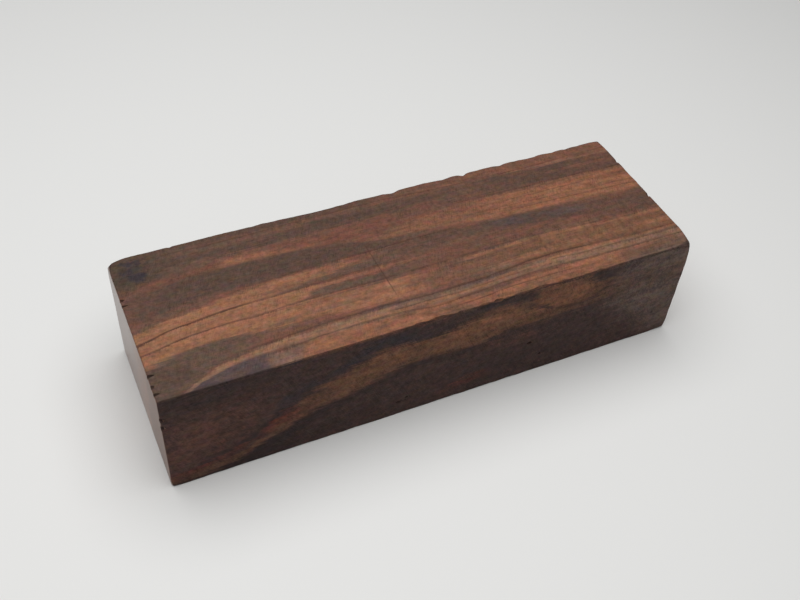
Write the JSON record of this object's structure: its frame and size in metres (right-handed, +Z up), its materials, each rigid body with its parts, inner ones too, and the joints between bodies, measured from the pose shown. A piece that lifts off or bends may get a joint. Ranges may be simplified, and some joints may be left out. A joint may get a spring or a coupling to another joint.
{
  "type": "ironwood block",
  "caption": "Sawn rectangular block of dark striped ironwood heartwood, a blank for a knife handle or small turning, lying on its broad face.",
  "frame": {"origin": "centre of the broad face that the block rests on, at the bottom centre of its bounding box", "axes": "+X along the grain and the length, +Y from the front face to the back face, +Z up"},
  "size_m": [0.13, 0.0428, 0.0298],
  "materials": {
    "ironwood": "sawn and lightly sanded heartwood: dark brown and black bands with orange-brown stripes, satin faces, waxed ends"
  },
  "bodies": {
    "root": {"ironwood_block": "ironwood"}
  },
  "joints": []
}
